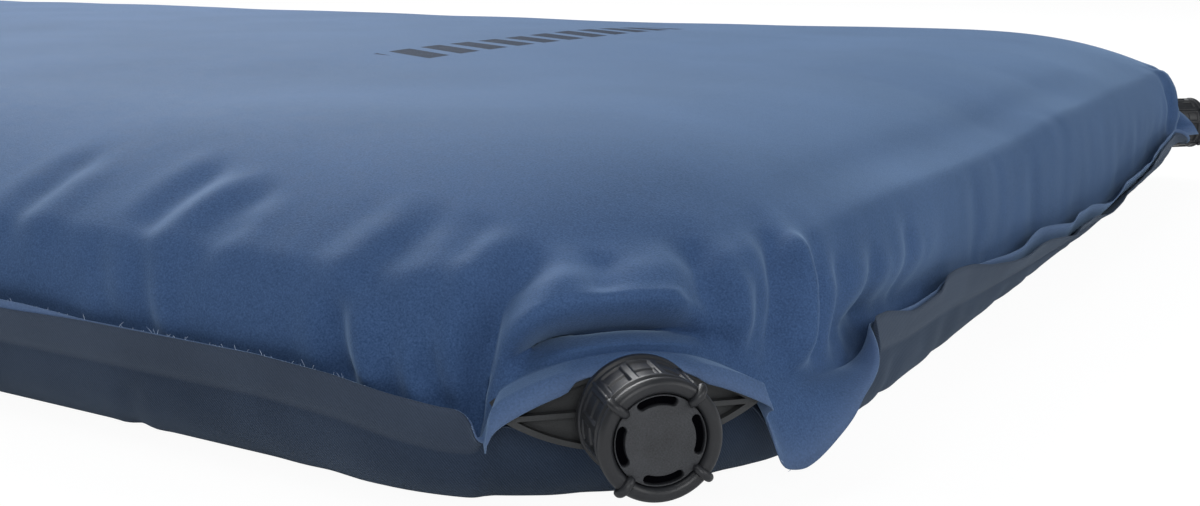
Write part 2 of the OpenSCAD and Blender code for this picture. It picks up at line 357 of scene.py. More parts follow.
EDGE_ROWS = 7
LAYER_GAP = 0.32 * MM  # each layer's distance from the middle of the welded edge
TABLE_BLEND = 0.1  # the near table passes into the far one over this length


def along_weld(near_table, far_table, column):
    """A table column at every station, passing from one valve's table to the other's."""
    middle = (NEAR_CORNER + FAR_CORNER) / 2
    near = through(near_table, column, FROM_NEAR / MM)
    far = through(far_table, column, FROM_FAR / MM)
    t = smooth((STATION - middle) / TABLE_BLEND + 0.5)
    return near * (1 - t) + far * t


WELD_HEIGHT = weld_z - along_weld(NEAR_WELD, FAR_WELD, 1) * MM
BELLY_REACH = along_weld(NEAR_WELD, FAR_WELD, 2) * MM
FULLNESS = along_weld(NEAR_WELD, FAR_WELD, 3) * MM


HEM_ROWS = 2  # the outermost rows, which turn down over the fitting's face
HEM_TURN = 58  # degrees
HEM_LEVEL = 0.95  # the share of the edge's angle that the fitting takes away
FITTING_STANDOFF = 10.8 * MM  # a little more than the fitting's own
WING_START = 13  # mm from the valve, where the hem begins
WING_START_LENGTH = 4  # mm over which it begins
WING_ENDS = (36, 34.5)  # mm where it ends, before and after the valve along the weld
WING_END_LENGTH = 3  # mm over which it ends
SWAY = 6  # degrees by which the free edge leans to and fro along the mat
RUFFLE = 2  # degrees of its finer waves
SWAY_FROM_NEAR = 0.2  # it sways only beyond this distance from the near valve
SWAY_FROM_FAR = 0.1
WIDTH_SWAY = 0.05  # the share by which its width varies
ROOT_ANGLE = 0.6  # the share of its angle that a layer has where it leaves the weld
ROOT_LENGTH = 0.6  # the share of its width over which the angle becomes full


def over_wings():
    """1 at the stations where the blue layer hangs over the fitting's wings."""
    share = np.zeros(len(STATION))
    for from_valve in (FROM_NEAR, FROM_FAR):
        away = np.abs(from_valve) / MM
        last = np.where(from_valve < 0, *WING_ENDS)
        begun = smooth((away - WING_START) / WING_START_LENGTH)
        share = np.maximum(share, begun * smooth((last - away) / WING_END_LENGTH))
    return share


def face_distance():
    """How far out from the weld the fitting's flat face lies."""
    away = np.minimum(np.abs(FROM_NEAR), np.abs(FROM_FAR))
    return FITTING_STANDOFF + away**2 / (2 * VALVE_CUT_RADIUS)


def edge_rows(columns, lift, side):
    """Rows of one layer from the weld out to its free edge, as rows x stations x 3
    points. The layer lies on the given side (1 or -1) of the edge's middle."""
    angle, width = [along_weld(NEAR_EDGE, FAR_EDGE, c) for c in columns]
    rng = np.random.default_rng(11)
    sway = waves(rng, 9, 0.42, 0.07)(STATION)
    ruffle = waves(rng, 7, 0.06, 0.02)(STATION)
    free = smooth((np.abs(FROM_NEAR) - SWAY_FROM_NEAR) / 0.1)
    free = free * smooth((np.abs(FROM_FAR) - SWAY_FROM_FAR) / 0.05)
    angle = np.radians(angle + free * (SWAY * sway + RUFFLE * ruffle))
    width = width * MM * (1 + WIDTH_SWAY * free * sway)
    hem = over_wings() * (side > 0)
    width = width * (1 - hem) + face_distance() * EDGE_ROWS / (EDGE_ROWS - HEM_ROWS) * hem
    angle = angle * (1 - HEM_LEVEL * hem)
    start = np.column_stack([WELD, WELD_HEIGHT + lift])
    up = np.array([0, 0, 1.0])
    outward = np.column_stack([OUTWARD, np.zeros(len(OUTWARD))])
    rows = [start + up * side * LAYER_GAP]
    here = start
    for i in range(EDGE_ROWS):
        grown = smooth((i + 1) / (ROOT_LENGTH * EDGE_ROWS))
        a = angle * (ROOT_ANGLE + (1 - ROOT_ANGLE) * grown)
        a = (a - math.radians(HEM_TURN) * hem * (i >= EDGE_ROWS - HEM_ROWS))[:, None]
        here = here + (outward * np.cos(a) + up * np.sin(a)) * (width / EDGE_ROWS)[:, None]
        rows.append(here + (up * np.cos(a) - outward * np.sin(a)) * side * LAYER_GAP)
    return np.array(rows)


# ---- cover surfaces --------------------------------------------------------


def top_height(d, weld, fullness=0.0):
    """Height of the blue cover at distance d in from the weld."""
    wall = np.clip(1 - (1 - np.clip(d / WALL_REACH, 0, 1)) ** WALL_POWER, 0, 1) ** 0.5
    slope = 1 - (1 - np.clip(d / SIDE_REACH, 0, 1)) ** SLOPE_POWER
    crown = smooth((d - 0.4 * SIDE_REACH) / (weld_y * 0.8))
    height = weld + (shoulder_z - weld) * wall + slope_rise * slope + crown_rise * crown
    return height + fullness * wall * (1 - smooth(d / (1.4 * SIDE_REACH)))


ROW_STEPS = (2.2 * MM, 9 * MM, 0.06, 0.13)  # as for the stations, up the surface
LAST_ROW_STEP = 12 * MM


def inward_rows():
    """Distances in from the weld to the spine, evenly spaced up the wall and then
    wider, and the way up the surface to each."""
    fine = np.linspace(0, 1, 4000) ** 2 * weld_y
    rise = np.hypot(np.diff(fine), np.diff(top_height(fine, weld_z)))
    way = np.concatenate([[0], np.cumsum(rise)])
    spots = [0.0]
    while spots[-1] < way[-1] - LAST_ROW_STEP:
        spots.append(spots[-1] + growing_step(spots[-1], ROW_STEPS))
    spots.append(way[-1])
    return np.interp(spots, way, fine), np.array(spots)


INWARD, UPWARD = inward_rows()


def plan(d):
    """Plan positions of every station at distance d in from the weld."""
    g = d / weld_y
    return WELD * (1 - g) + SPINE * g


def top_rows():
    start = WELD_HEIGHT + DRAPE * fitting_lift(0) + LAYER_GAP
    rows = []
    for d in INWARD:
        rows.append(np.column_stack([plan(d), top_height(d, start, FULLNESS)]))
    return np.array(rows)


FLOOR_GAP = 0.3 * MM  # the dark cover's middle surface lies this high


def belly_rows():
    rows = []
    for d in INWARD:
        q = np.clip(d / BELLY_REACH, 0, 1)
        z = WELD_HEIGHT * (1 - np.clip(1 - (1 - q) ** BELLY_POWER, 0, 1) ** 0.5)
        z = np.minimum(z, WELD_HEIGHT - fitting_lift(d) - LAYER_GAP)
        rows.append(np.column_stack([plan(d), np.clip(z, FLOOR_GAP, None)]))
    return np.array(rows)


def normals(rows):
    """Unit normals of a grid of rows x stations, out of the mat on the blue cover."""
    along = np.roll(rows, -1, axis=1) - np.roll(rows, 1, axis=1)
    up = np.gradient(rows, axis=0)
    n = np.cross(along, up)
    return n / np.maximum(np.linalg.norm(n, axis=2, keepdims=True), 1e-9)


# ---- folds -----------------------------------------------------------------
#
# A fold is (depth, width, points): a valley pressed in along a curve, or a ridge
# where the depth is negative. All are in mm, and a point is (distance from the
# near valve along the weld, way up the surface from the weld). Most of the valve
# and side folds, and the height of the end wall's long ridge, were traced on the
# photograph and cast through the camera onto the cover by a separate script, then
# adjusted by hand. Depths and widths were given one by one.

VALVE_FOLDS = [
    (5.5, 5.0, [(-43, 0), (-37, 14), (-33, 26), (-26, 35), (-14, 44)]),
    (-1.8, 6.0, [(-31, 6), (-24, 18), (-16, 26), (-4, 33)]),
    (15.0, 4.4, [(-31, 5), (-18, 10), (-5, 12), (8, 12), (19, 10), (29, 4)]),
    (-2.4, 9.0, [(-22, 22), (-4, 27), (12, 26), (24, 19)]),
    (2.2, 5.0, [(0, 42), (-4, 30), (-3, 22)]),
    (3.4, 5.0, [(28, 44), (26, 28), (27, 14), (36, 2)]),
    (2.0, 3.6, [(19, 26), (21, 14), (28, 3)]),
    (3.8, 5.0, [(58, 42), (55, 24), (50, 10), (41, 0)]),
    (-3.4, 5.0, [(66, 38), (63, 16), (56, 0)]),
    (1.8, 3.4, [(47, 30), (43, 16), (38, 4)]),
    (-1.6, 4.0, [(38, 30), (36, 18), (33, 8)]),
    (2.6, 4.2, [(75, 26), (72, 12), (70, 0)]),
    (2.4, 3.6, [(-53, 18), (-50, 8), (-48, 0)]),
    (-1.6, 4.0, [(-60, 20), (-57, 8), (-54, 0)]),
    (2.6, 4.4, [(-82, 26), (-82, 12), (-78, 1)]),
    (-2.4, 5.0, [(-73, 28), (-72, 12), (-70, 1)]),
]
SIDE_FOLDS = [
    (1.5, 6.5, [(-222, 24), (-214, 42), (-206, 58), (-200, 80)]),
    (-0.8, 7.0, [(-212, 28), (-204, 48), (-196, 66)]),
    (1.6, 5.5, [(-161, 32), (-156, 46), (-146, 60), (-132, 76)]),
    (-1.0, 6.0, [(-157, 26), (-147, 38), (-137, 52), (-120, 70)]),
    (1.3, 5.0, [(-139, 32), (-132, 43), (-120, 55), (-105, 68)]),
    (0.8, 4.0, [(-137, 26), (-130, 34), (-113, 50)]),
    (-1.1, 5.0, [(-86, 20), (-82, 30), (-70, 42), (-50, 60)]),
    (1.5, 5.5, [(-77, 24), (-63, 40), (-40, 62)]),
    (1.1, 4.0, [(-158, 30), (-157, 18), (-153, 2)]),
    (-0.7, 4.0, [(-150, 26), (-148, 14), (-146, 2)]),
    (0.8, 4.0, [(-178, 32), (-175, 20), (-171, 8)]),
    (0.7, 4.5, [(-43, 38), (-37, 46), (-28, 58)]),
]
END_FOLDS = [
    (4.5, 5.5, [(74, 4), (90, 8), (120, 9), (150, 8), (200, 7)]),
    (-2.2, 9.0, [(70, 33), (100, 34), (140, 35), (200, 34), (320, 33), (520, 33)]),
    (2.0, 5.0, [(92, 28), (88, 16), (84, 4)]),
    (1.8, 5.0, [(116, 26), (114, 16), (112, 4)]),
    (1.4, 5.0, [(150, 28), (147, 16), (146, 6)]),
]


FAR_FOLD_SHARE = 0.8  # the far valve has the near one's folds, this deep
FOLD_REACH = 4  # a fold dies away within this many of its widths

# Puckers up from the weld, as (spacing, depth, length) in mm.
TOP_PUCKERS = [(52, 0.6, 26), (22, 0.2, 12)]
BELLY_PUCKERS = [(60, 0.7, 40), (26, 0.2, 14)]
EDGE_DIP = 2.4  # mm that the cover is pressed in just above an edge that stands up


def rounded(points):
    """A polyline with its corners cut twice, so that it runs smoothly."""
    p = np.array(points, float)
    for _ in range(2):
        cut = np.concatenate([p[:-1] * 0.75 + p[1:] * 0.25, p[:-1] * 0.25 + p[1:] * 0.75], 1)
        p = np.concatenate([p[:1], cut.reshape(-1, 2), p[-1:]])
    return p


def add_fold(height, s, u, depth, width, points):
    """Adds one fold to the height field (rows x stations, mm): a valley with a low
    rim on either side, fading out at both ends."""
    path = rounded(points)
    reach = FOLD_REACH * width
    columns = (s > path[:, 0].min() - reach) & (s < path[:, 0].max() + reach)
    lines = u < path[:, 1].max() + reach
    if not columns.any():
        return
    across, up = np.meshgrid(s[columns], u[lines])
    nearest = np.full(across.shape, 1e9)
    share = np.zeros(across.shape)
    steps = np.hypot(*np.diff(path, axis=0).T)
    gone = np.concatenate([[0], np.cumsum(steps)])
    for a, b, start, step in zip(path[:-1], path[1:], gone, steps):
        way = (b - a) / max(step, 1e-6)
        t = np.clip((across - a[0]) * way[0] + (up - a[1]) * way[1], 0, step)
        away = np.hypot(across - a[0] - way[0] * t, up - a[1] - way[1] * t)
        closer = away < nearest
        nearest[closer] = away[closer]
        share[closer] = ((start + t) / gone[-1])[closer]
    x = nearest / width
    section = 0.3 * np.exp(-(((x - 2.1) / 0.95) ** 2)) - np.exp(-(x**1.8))
    ends = smooth(share / 0.25 + 0.2) * smooth((1 - share) / 0.35 + 0.05)
    height[np.ix_(lines, columns)] += depth * ends * section


def random_puckers(height, rng, s, u, spacing, depth, length):
    """Small folds up from the weld, all the way round."""
    here = s[0]
    while here < s[-1]:
        here += spacing * rng.uniform(0.5, 1.5)
        foot = rng.uniform(1, 8)
        top = foot + length * rng.uniform(0.5, 1.6)
        lean = rng.uniform(-0.45, 0.45) * (top - foot)
        bow = rng.uniform(-2, 2)
        points = [(here, foot), (here + lean / 2 + bow, (foot + top) / 2), (here + lean, top)]
        size = depth * rng.uniform(0.35, 1.2)
        add_fold(height, s, u, size, rng.uniform(3.5, 8.5), points)


def soft_waves(rng, rows, amount):
    """A gentle unevenness over the whole cover."""
    total = np.zeros(rows.shape[:2])
    for _ in range(14):
        length = math.exp(rng.uniform(math.log(0.07), math.log(0.4)))
        turn = rng.uniform(0, math.pi)
        phase = rng.uniform(0, 2 * math.pi)
        along = rows[:, :, 0] * math.cos(turn) + rows[:, :, 1] * math.sin(turn)
        total += (length / 0.4) ** 0.8 * np.sin(2 * math.pi * along / length + phase)
    return total * amount


def press(rows, height):
    """Moves the grid along its normals by a height field in mm, none at the weld
    or along the spine."""
    free = smooth(UPWARD / (3 * MM)) * smooth((UPWARD[-1] - UPWARD) / 0.07)
    return rows + normals(rows) * (height * free[:, None] * MM)[:, :, None]


def fold_top(rows):
    s, u = FROM_NEAR / MM, UPWARD / MM
    rng = np.random.default_rng(5)
    height = np.zeros(rows.shape[:2])
    for spacing, depth, length in TOP_PUCKERS:
        random_puckers(height, rng, s, u, spacing, depth, length)
    # Fainter round the near valve and along the near side, which have their own folds.
    height *= (1 - 0.8 * bump((s + 30) / 110)) * (0.5 + 0.5 * smooth((s + 60) / 120))
    upright = smooth((along_weld(NEAR_EDGE, FAR_EDGE, 1) - 45) / 35)
    height -= EDGE_DIP * upright * bump((u[:, None] - 7) / 7)
    height += soft_waves(rng, rows, 0.28)
    rows = press(rows, height)
    height = np.zeros(rows.shape[:2])
    for depth, width, points in VALVE_FOLDS + SIDE_FOLDS + END_FOLDS:
        add_fold(height, s, u, depth, width, points)
    for depth, width, points in VALVE_FOLDS:
        mirrored = [(FAR_AT / MM - along, up) for along, up in points]
        add_fold(height, s, u, depth * FAR_FOLD_SHARE, width, mirrored)
    return press(rows, height)


def fold_belly(rows):
    s, u = FROM_NEAR / MM, UPWARD / MM
    rng = np.random.default_rng(8)
    height = np.zeros(rows.shape[:2])
    for spacing, depth, length in BELLY_PUCKERS:
        random_puckers(height, rng, s, u, spacing, depth, length)
    flat = 1 - smooth((INWARD - BELLY_REACH.max()) / 0.03)
    return press(rows, -height * flat[:, None])


# ---- cloth -----------------------------------------------------------------

CLOTH_FRAMES = 14
CLOTH_MOVE = 0.7 * MM  # the farthest that a point may move
CLOTH_REACH = 0.15  # how far up the surface the solver's ring of cover goes
PINNED_FOOT = 5 * MM  # its lower edge is held, less and less over this length
PINNED_TOP = 0.1  # its upper edge is held from here up
PINNED_TOP_LENGTH = 0.05
CLOTH_FADE = (0.01, 0.05)  # the movement fades from here, over this length
CLOTH_SMOOTHING = 3  # rounds of smoothing along the mat


def settle(rows):
    """Adds the faint unevenness that Blender's cloth solver gives the blue cover's
    side, where the fabric is a little too long and air presses it outwards. Most
    of the folds and puckers that show come from the fold section instead."""
    count = int(np.searchsorted(UPWARD, CLOTH_REACH))
    side = rows[:count]
    obj = grid_object("cloth_side", side, merge=False)
    pins = obj.vertex_groups.new(name="pins")
    foot = 1 - UPWARD[:count] / PINNED_FOOT
    hold = np.clip(np.maximum(foot, (UPWARD[:count] - PINNED_TOP) / PINNED_TOP_LENGTH), 0, 1)
    around = side.shape[1]
    for row in range(count):
        if hold[row] > 0:
            pins.add(list(range(row * around, (row + 1) * around)), float(hold[row]), "REPLACE")
    cloth = obj.modifiers.new("cloth", "CLOTH")
    settings = cloth.settings
    settings.quality = 4
    settings.mass = 0.15
    settings.tension_stiffness = 12
    settings.compression_stiffness = 12
    settings.shear_stiffness = 4
    settings.bending_stiffness = 0.05
    settings.vertex_group_mass = "pins"
    settings.shrink_min = -0.02
    settings.use_pressure = True
    settings.uniform_pressure_force = 1.0
    settings.effector_weights.gravity = 0
    cloth.collision_settings.use_collision = False
    scene = bpy.context.scene
    scene.frame_start = 1
    scene.frame_end = CLOTH_FRAMES
    for frame_number in range(1, CLOTH_FRAMES + 1):
        scene.frame_set(frame_number)
    done = obj.evaluated_get(bpy.context.evaluated_depsgraph_get())
    places = np.zeros(len(done.data.vertices) * 3)
    done.data.vertices.foreach_get("co", places)
    facing = normals(side)
    swell = ((places.reshape(side.shape) - side) * facing).sum(axis=2)
    swell -= swell.mean(axis=1, keepdims=True)
    for _ in range(CLOTH_SMOOTHING):
        swell = (np.roll(swell, 1, axis=1) + 2 * swell + np.roll(swell, -1, axis=1)) / 4
    swell = CLOTH_MOVE * np.tanh(swell / CLOTH_MOVE)
    scene.frame_set(1)
    bpy.data.objects.remove(obj)
    fade = 1 - smooth((UPWARD[:count] - CLOTH_FADE[0]) / CLOTH_FADE[1])
    settled = rows.copy()
    settled[:count] += facing * (swell * fade[:, None])[:, :, None]
    return settled


# ---- cover meshes ----------------------------------------------------------


def grid_object(name, rows, marks=None, merge=True):
    """A mesh from rows x stations x 3 points that closes round the stations. marks
    are named values per point for the material."""
    count, around = rows.shape[:2]
    mesh = bpy.data.meshes.new(name)
    index = np.arange(count * around).reshape(count, around)
    nxt = np.roll(index, -1, axis=1)
    faces = np.stack([index[:-1], nxt[:-1], nxt[1:], index[1:]], -1).reshape(-1, 4)
    mesh.from_pydata(rows.reshape(-1, 3).tolist(), [], faces.tolist())
    for mark, values in (marks or {}).items():
        layer = mesh.attributes.new(mark, "FLOAT", "POINT")
        layer.data.foreach_set("value", np.ascontiguousarray(values, np.float32).ravel())
    obj = link(name, mesh)
    if merge:
        work = bmesh.new()
        work.from_mesh(mesh)
        bmesh.ops.remove_doubles(work, verts=work.verts, dist=0.02 * MM)
        bmesh.ops.recalc_face_normals(work, faces=work.faces)
        work.to_mesh(mesh)
        work.free()
    for polygon in mesh.polygons:
        polygon.use_smooth = True
    return obj


def cover(name, inner, outer):
    """One cover, from its free edge through the weld to the spine."""
    rows = np.concatenate([outer[::-1][:-1], inner])
    across = np.ones((1, rows.shape[1]))
    edge = np.concatenate([np.linspace(1, 0, EDGE_ROWS + 1)[:-1], np.zeros(len(inner))])
    band = np.concatenate([np.ones(EDGE_ROWS + 1), np.zeros(len(inner) - 1)])
    marks = {"edge": edge[:, None] * across, "band": band[:, None] * across}
    obj = grid_object(name, rows, marks)
    shell = obj.modifiers.new("fabric", "SOLIDIFY")
    shell.thickness = FABRIC
    shell.offset = 0
    return obj


def make_covers():
    blue_edge = edge_rows((1, 2), DRAPE * fitting_lift(0), 1)
    dark_edge = edge_rows((3, 4), -fitting_lift(0), -1)
    blue = top_rows()
    blue = settle(blue)
    top = cover("top_cover_fabric", fold_top(blue), blue_edge)
    bottom = cover("bottom_cover_fabric", fold_belly(belly_rows()), dark_edge)
    return top, bottom, blue_edge


# ---- small parts -----------------------------------------------------------


def join_rings(work, rings):
    """Faces between each ring of points and the next."""
    for low, high in zip(rings, rings[1:]):
        for k in range(len(low)):
            j = (k + 1) % len(low)
            work.faces.new((low[k], low[j], high[j], high[k]))


def sweep(work, path, radii, sides):
    """Adds a closed tube with a radius at each point of its path."""
    path = [Vector(p) for p in path]
    side = Vector((0.3, 0.5, 0.81))
    rings = []
    for i, place in enumerate(path):
        ahead = (path[min(i + 1, len(path) - 1)] - path[max(i - 1, 0)]).normalized()
        side = (side - ahead * side.dot(ahead)).normalized()
        other = ahead.cross(side)
        ring = []
        for k in range(sides):
            a = 2 * math.pi * k / sides
            ring.append(work.verts.new(place + (side * math.cos(a) + other * math.sin(a)) * radii[i]))
        rings.append(ring)
    join_rings(work, rings)
    work.faces.new(rings[0][::-1])
    work.faces.new(rings[-1])


def finish_mesh(name, work, matrix=None):
    if matrix:
        bmesh.ops.transform(work, matrix=matrix, verts=work.verts)
    bmesh.ops.recalc_face_normals(work, faces=work.faces)
    mesh = bpy.data.meshes.new(name)
    work.to_mesh(mesh)
    work.free()
    for polygon in mesh.polygons:
        polygon.use_smooth = True
    return link(name, mesh)


def make_threads(edge):
    """Loose fibres along the cut edge of the blue layer, near the near valve."""
    rng = np.random.default_rng(21)
    work = bmesh.new()
    stretches = [(-235, -180, 24), (-180, -72, 56), (-43, -38, 5), (38, 46, 4)]
    for first, last, count in stretches:
        for s in rng.uniform(first, last, count):
            i = int(np.argmin(np.abs(FROM_NEAR - s * MM)))
            root = Vector(edge[-1][i])
            away = (root - Vector(edge[-3][i])).normalized()
            tangent = (Vector(edge[-1][i + 1]) - root).normalized()
            root = root + tangent * rng.uniform(0, 2 * MM) - away * 0.6 * MM
            length = rng.uniform(0.5, 1.9) * MM
            lean = tangent * rng.uniform(-0.9, 0.9) + Vector(rng.uniform(-0.4, 0.4, 3))
            path = []
            for t in np.linspace(0, 1, 5):
                path.append(root + away * length * t + lean * length * t * t)
            sweep(work, path, [0.08 * MM] * 4 + [0.03 * MM], 5)
    return finish_mesh("edge_threads", work)


# ---- caps ------------------------------------------------------------------
#
# All lengths here are in mm, in the valve's own frame.

CAP_PHASE = 5  # degrees from upright, as in the CAD cap
CAP_SIDES = 360
SKIRT_RADIUS = 15.7
BEAD_CENTRE = (14, 24)  # radius and height of the rim's round bead
BEAD_RADIUS = 2.0
HOOK_RADIUS = 2.35  # of the arc that a hook's bar follows over the bead
BAR_RADIUS = 1.2
RIB_RADIUS = 0.6
RIB_FOOT_RADIUS = 0.3
PANEL_CENTRES = (17, 45, 73)  # degrees between one rib and the next
PANEL_HALF = 10.5  # degrees
PANEL_FOOT, PANEL_STEP, PANEL_TOP = 7.6, 13.2, 19.6  # heights
PANEL_DEPTH = 0.45  # doubled above the step
PANEL_WALL = 0.4  # height over which a panel's ends slope
SLOT_RADIUS = 10.25
SLOT_HALF_WIDTH = 1.1
SLOT_HALF_ANGLE = 23
SLOT_DEPTH = 1.4
FACE_RADIUS = 11.75
FACE_TOP = 24.82  # height of the face's middle
FACE_BACK = 23.2
FACE_SIDES = 288


def cap_outline():
    """Closed section of the cap as (radius, height) in mm, bore included."""
    points = [(12, 3), (15.9, 3), (16.2, 3.3), (16.2, 5.4), (15.95, 5.7), (SKIRT_RADIUS, 5.9)]
    points += [(SKIRT_RADIUS, z) for z in np.arange(6.3, 20.6, 0.35)]
    points += [(SKIRT_RADIUS, 20.7), (15.3, 21.1), (15.1, 21.7)]
    for a in np.linspace(-50, 185, 22):
        r = BEAD_CENTRE[0] + BEAD_RADIUS * math.cos(math.radians(a))
        z = BEAD_CENTRE[1] + BEAD_RADIUS * math.sin(math.radians(a))
        points.append((r, z))
    points += [(12.0, 23.4), (11.9, 22.9), (4.8, 22.8), (4.8, 22), (11.9, 22)]
    return points


def clamped(t):
    return min(max(t, 0), 1)


def panel_depth(angle, z):
    """How deep the skirt's moulded panels are at an angle and height."""
    between = (math.degrees(angle) - 45 - CAP_PHASE) % 90
    depth = 0
    for centre in PANEL_CENTRES:
        inside = PANEL_HALF - abs(between - centre)
        side = clamped(inside / 1.2)
        ends = clamped((z - PANEL_FOOT) / PANEL_WALL) * clamped((PANEL_TOP - z) / PANEL_WALL)
        step = PANEL_DEPTH + PANEL_DEPTH * clamped((z - PANEL_STEP) / PANEL_WALL)
        depth = max(depth, side * ends * step)
    return depth


def cap_mesh(side):
    work = bmesh.new()
    section = cap_outline()
    rings = []
    for k in range(CAP_SIDES):
        a = 2 * math.pi * k / CAP_SIDES
        ring = []
        for r, z in section:
            if r == SKIRT_RADIUS:
                r = r - panel_depth(a, z)
            ring.append(work.verts.new((r * math.cos(a) * MM, r * math.sin(a) * MM, z * MM)))
        rings.append(ring)
    join_rings(work, rings + rings[:1])
    for k in range(4):
        add_hook(work, math.radians(45 + CAP_PHASE + 90 * k))
    return finish_mesh(side + "_screw_cap", work, valve_matrix(side))


def add_hook(work, angle):
    """A rounded bar over the rim, and the thin rib that it runs into."""
    turn = Matrix.Rotation(angle, 3, "Z")
    bar, radii = [], []
    for t in np.linspace(0, 1, 18):
        a = math.radians(172 - 196 * t)
        r = BEAD_CENTRE[0] + HOOK_RADIUS * math.cos(a)
        bar.append((r, BEAD_CENTRE[1] + HOOK_RADIUS * math.sin(a)))
        radii.append(BAR_RADIUS * min(1, 0.35 + 6 * t, 0.5 + 5 * (1 - t)) * MM)
    path = [turn @ Vector((r, 0, z)) * MM for r, z in bar]
    sweep(work, path, radii, 14)
    rib = [turn @ Vector((15.75, 0, z)) * MM for z in (5.8, 6.4, 10, 14, 18, 22)]
    sweep(work, rib, [RIB_FOOT_RADIUS * MM] + [RIB_RADIUS * MM] * 5, 10)


def slot_depth(r, angle):
    """How deep the face's arc slots are at a radius (mm) and angle (degrees)."""
    off = (angle - CAP_PHASE + 45) % 90 - 45
    past = max(abs(off) - SLOT_HALF_ANGLE, 0) * math.radians(1) * SLOT_RADIUS
    away = math.hypot(r - SLOT_RADIUS, past) - SLOT_HALF_WIDTH
    return SLOT_DEPTH * float(smooth((0.14 - away) / 0.28))


def face_mesh(side):
    """The grained disc inside the rim, with four arc slots, closed behind."""
    work = bmesh.new()
    depths = [0]
    radii = [0.8, 2, 3.5, 5, 6.5, 7.8, 8.6]
    radii += list(np.arange(8.9, 11.61, 0.09)) + [11.66, FACE_RADIUS]
    count = FACE_SIDES
    centre = work.verts.new((0, 0, FACE_TOP * MM))
    rings = []
    for r in radii:
        ring = []
        for k in range(count):
            a = 2 * math.pi * k / count
            dome = FACE_TOP - 0.12 * (r / FACE_RADIUS) ** 2 - 0.12 * (r > 11.7)
            depths.append(slot_depth(r, math.degrees(a)))
            z = dome - depths[-1]
            ring.append(work.verts.new((r * math.cos(a) * MM, r * math.sin(a) * MM, z * MM)))
        rings.append(ring)
    depths += [0] * count
    back = []
    for k in range(count):
        a = 2 * math.pi * k / count
        x, y = FACE_RADIUS * math.cos(a) * MM, FACE_RADIUS * math.sin(a) * MM
        back.append(work.verts.new((x, y, FACE_BACK * MM)))
    rings.append(back)
    for k in range(count):
        work.faces.new((centre, rings[0][k], rings[0][(k + 1) % count]))
    join_rings(work, rings)
    work.faces.new(back[::-1])
    obj = finish_mesh(side + "_cap_disc", work, valve_matrix(side))
    # This mark paints shade into the slots: it is each point's slot depth as a share of the full
    # depth.
    layer = obj.data.attributes.new("painted_recess_shade", "FLOAT", "POINT")
    layer.data.foreach_set("value", np.array(depths, np.float32) / SLOT_DEPTH)
    return obj


# ---- materials -------------------------------------------------------------


class Look:
    """One Principled material with a few helpers for its nodes."""

    def __init__(self, name, colour, roughness):
        self.material = bpy.data.materials.new(name)
        self.material.use_nodes = True
        self.nodes = self.material.node_tree.nodes
        self.links = self.material.node_tree.links
        self.shader = self.nodes["Principled BSDF"]
        self.shader.inputs["Base Color"].default_value = (*colour, 1)
        self.shader.inputs["Roughness"].default_value = roughness
        self.place = self.nodes.new("ShaderNodeTexCoord").outputs["Object"]

    def noise(self, size, detail=2):
        """Noise whose features are about `size` metres."""
        node = self.nodes.new("ShaderNodeTexNoise")
        node.inputs["Scale"].default_value = 1 / size
        node.inputs["Detail"].default_value = detail
        self.links.new(self.place, node.inputs["Vector"])
        return node.outputs["Fac"]

    def threads(self, period, direction):
        """Fine stripes that stand for one set of a weave's threads."""
        node = self.nodes.new("ShaderNodeTexWave")
        node.bands_direction = direction
        node.inputs["Scale"].default_value = 0.314 / period
        node.inputs["Distortion"].default_value = 1.2
        node.inputs["Detail Scale"].default_value = 3
        self.links.new(self.place, node.inputs["Vector"])
        return node.outputs["Fac"]

    def attribute(self, name):
        node = self.nodes.new("ShaderNodeAttribute")
        node.attribute_name = name
        return node.outputs["Fac"]

    def math(self, kind, a, b=0.0):
        node = self.nodes.new("ShaderNodeMath")
        node.operation = kind
        for socket, value in zip(node.inputs, (a, b)):
            if isinstance(value, (int, float)):
                socket.default_value = value
            else:
                self.links.new(value, socket)
        return node.outputs[0]

    def ramp(self, value, low, high, colour_low, colour_high):
        node = self.nodes.new("ShaderNodeValToRGB")
        node.color_ramp.elements[0].position = low
        node.color_ramp.elements[1].position = high
        node.color_ramp.elements[0].color = (*colour_low, 1)
        node.color_ramp.elements[1].color = (*colour_high, 1)
        self.links.new(value, node.inputs["Fac"])
        return node.outputs["Color"]

    def blend(self, share, a, b):
        """Mixes two colours by a share that is a number or a socket."""
        node = self.nodes.new("ShaderNodeMix")
        node.data_type = "RGBA"
        for socket, value in ((node.inputs[0], share), (node.inputs[6], a), (node.inputs[7], b)):
            if isinstance(value, tuple):
                socket.default_value = (*value, 1)
            elif isinstance(value, (int, float)):
                socket.default_value = value
            else:
                self.links.new(value, socket)
        return node.outputs[2]

    def colour(self, socket):
        self.links.new(socket, self.shader.inputs["Base Color"])

    def rough(self, value, low, high):
        node = self.nodes.new("ShaderNodeMapRange")
        node.inputs["To Min"].default_value = low
        node.inputs["To Max"].default_value = high
        self.links.new(value, node.inputs["Value"])
        self.links.new(node.outputs[0], self.shader.inputs["Roughness"])

    def relief(self, *layers):
        """Bump from (height socket, strength, depth in metres) layers."""
        last = None
        for value, strength, depth in layers:
            node = self.nodes.new("ShaderNodeBump")
            node.inputs["Strength"].default_value = strength
            node.inputs["Distance"].default_value = depth
            self.links.new(value, node.inputs["Height"])
            if last:
                self.links.new(last, node.inputs["Normal"])
            last = node.outputs["Normal"]
        self.links.new(last, self.shader.inputs["Normal"])


